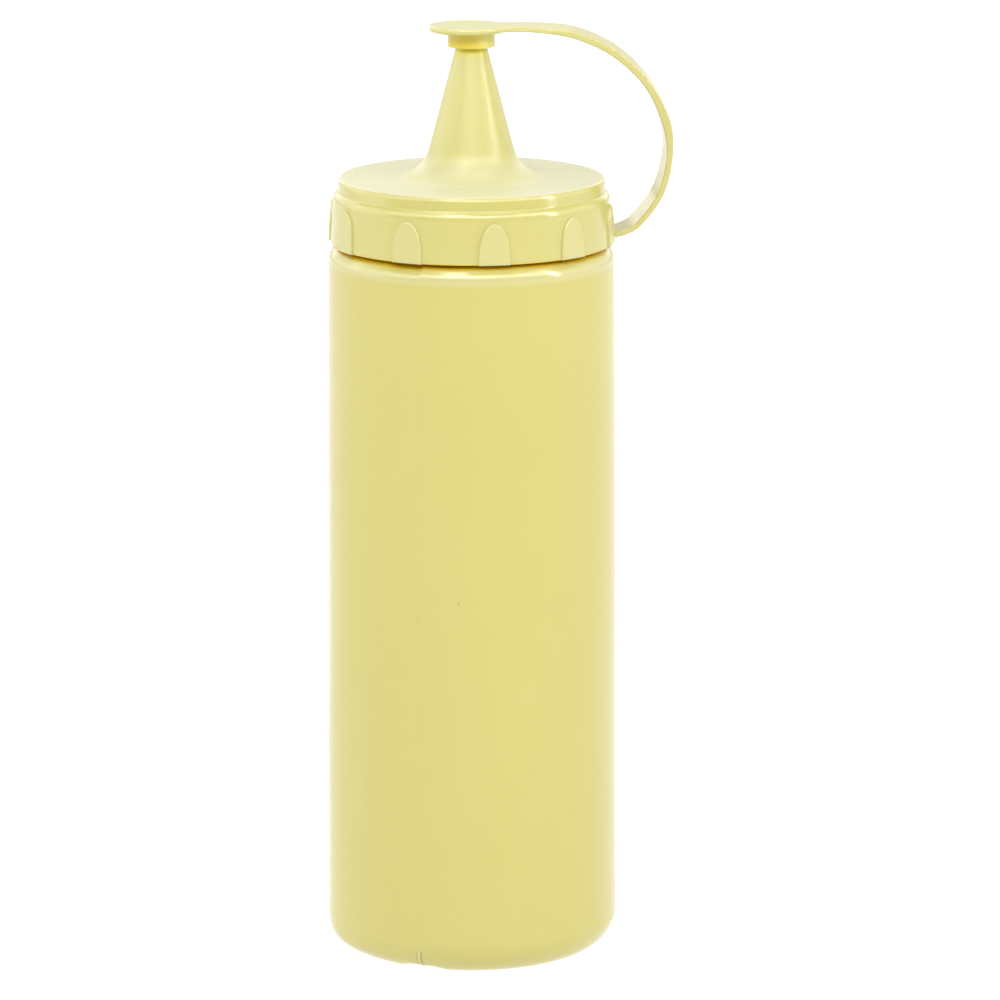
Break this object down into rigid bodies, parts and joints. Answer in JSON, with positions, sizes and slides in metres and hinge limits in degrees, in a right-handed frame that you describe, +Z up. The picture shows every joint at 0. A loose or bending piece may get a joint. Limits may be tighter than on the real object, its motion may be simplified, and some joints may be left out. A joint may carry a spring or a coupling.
{
  "type": "condiment bottle",
  "caption": "Soft plastic squeeze bottle for sauce with a screw lid, a conical nozzle and a small tip cap held to the lid by a strap.",
  "frame": {"origin": "on the bottle's axis, in the plane of its base", "axes": "+Z up along the bottle's axis, front to -Y, the cap's strap arches out on the +X side"},
  "size_m": [0.0897, 0.0758, 0.2428],
  "materials": {
    "bottle_plastic": "satin",
    "lid_plastic": "semi-gloss"
  },
  "bodies": {
    "root": {"bottle": "bottle_plastic", "lid": "lid_plastic"}
  },
  "joints": []
}
